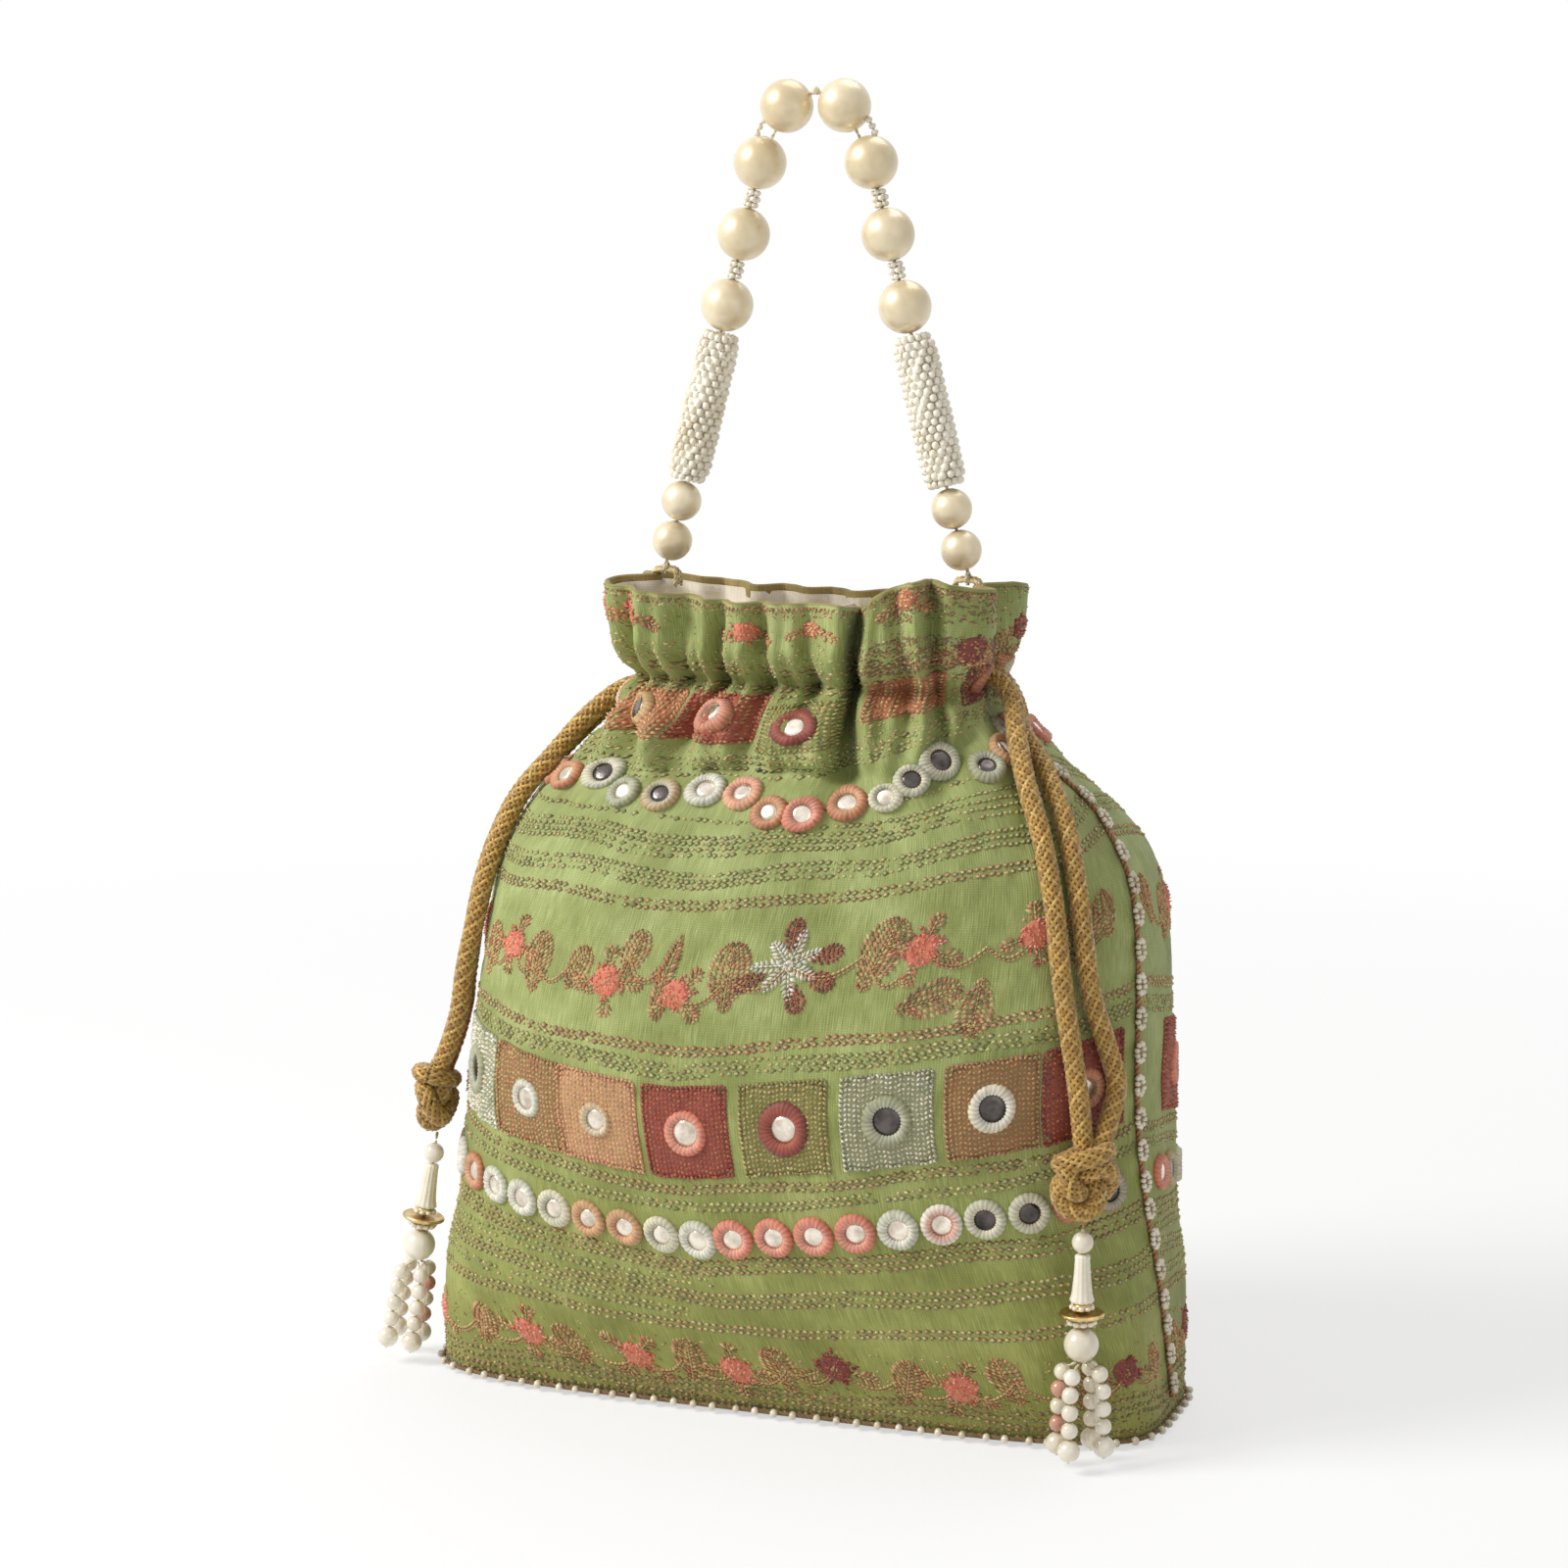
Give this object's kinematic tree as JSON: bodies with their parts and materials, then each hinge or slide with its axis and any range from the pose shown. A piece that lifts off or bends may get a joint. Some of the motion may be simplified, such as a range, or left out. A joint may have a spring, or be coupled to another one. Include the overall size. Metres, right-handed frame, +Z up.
{
  "type": "potli drawstring pouch",
  "caption": "Gathered drawstring evening pouch with embroidered panels, beaded seams, tasselled cords and an arched pearl carrying handle.",
  "frame": {"origin": "middle of the oval base, on the surface it stands on", "axes": "+Z up through the mouth, +X to the right side seam, -Y out of the front panel"},
  "size_m": [0.2092, 0.1052, 0.3262],
  "materials": {
    "embroidered_cloth": "soft woven cloth with thread work",
    "lining_cloth": "smooth satin",
    "gold_cord": "twisted gold cord",
    "gilt_spacer": "antique gilt",
    "seed_beads": "cream seed beads",
    "thread": "beading thread",
    "pearl": "pearl lustre"
  },
  "bodies": {
    "pouch": {"back_panel": "embroidered_cloth", "base_panel": "embroidered_cloth", "base_trim": "seed_beads", "drawstring_left": "gold_cord", "drawstring_right": "gold_cord", "front_panel": "embroidered_cloth", "handle_stitch_left": "thread", "handle_stitch_right": "thread", "lining": "lining_cloth", "side_trim_left": "seed_beads", "side_trim_right": "seed_beads"},
    "handle": {"beaded_tube_left": "seed_beads", "beaded_tube_right": "seed_beads", "crown_seed": "seed_beads", "handle_string": "thread", "link_lower_left": "seed_beads", "link_lower_right": "seed_beads", "link_upper_left": "seed_beads", "link_upper_right": "seed_beads", "pearl_four_left": "pearl", "pearl_four_right": "pearl", "pearl_one_left": "pearl", "pearl_one_right": "pearl", "pearl_three_left": "pearl", "pearl_three_right": "pearl", "pearl_two_left": "pearl", "pearl_two_right": "pearl", "small_pearl_lower_left": "pearl", "small_pearl_lower_right": "pearl", "small_pearl_upper_left": "pearl", "small_pearl_upper_right": "pearl"},
    "tassel_link_right": {"tassel_link_right": "thread"},
    "tassel_right": {"tassel_bead_right": "pearl", "tassel_disc_right": "gilt_spacer", "tassel_lower_rondelle_right": "gilt_spacer", "tassel_pearl_right": "pearl", "tassel_strand_1_right": "pearl", "tassel_strand_2_right": "pearl", "tassel_strand_3_right": "pearl", "tassel_strand_4_right": "pearl", "tassel_thread_right": "thread", "tassel_trumpet_right": "pearl", "tassel_upper_rondelle_right": "gilt_spacer"},
    "tassel_link_left": {"tassel_link_left": "thread"},
    "tassel_left": {"tassel_bead_left": "pearl", "tassel_disc_left": "gilt_spacer", "tassel_lower_rondelle_left": "gilt_spacer", "tassel_pearl_left": "pearl", "tassel_strand_1_left": "pearl", "tassel_strand_2_left": "pearl", "tassel_strand_3_left": "pearl", "tassel_strand_4_left": "pearl", "tassel_thread_left": "thread", "tassel_trumpet_left": "pearl", "tassel_upper_rondelle_left": "gilt_spacer"}
  },
  "joints": [
    {"name": "handle_swing", "type": "hinge", "parent": "pouch", "child": "handle", "pos_m": [0.0012, 0, 0.2066], "axis": [1, 0, 0], "range_deg": [-70, 70]},
    {"name": "tassel_sway_right", "type": "hinge", "parent": "pouch", "child": "tassel_link_right", "pos_m": [0.083, -0.0415, 0.06038], "axis": [0.6691, -0.7431, 0], "range_deg": [-35, 35]},
    {"name": "tassel_lift_right", "type": "hinge", "parent": "tassel_link_right", "child": "tassel_right", "pos_m": [0.083, -0.0415, 0.05863], "axis": [-0.7431, -0.6691, 0], "range_deg": [0, 55]},
    {"name": "tassel_sway_left", "type": "hinge", "parent": "pouch", "child": "tassel_link_left", "pos_m": [-0.09512, -0.01852, 0.06039], "axis": [-0.9699, -0.171, 0.1736], "range_deg": [-35, 35]},
    {"name": "tassel_lift_left", "type": "hinge", "parent": "tassel_link_left", "child": "tassel_left", "pos_m": [-0.09542, -0.01857, 0.05867], "axis": [-0.1736, 0.9848, 0], "range_deg": [0, 55]}
  ]
}
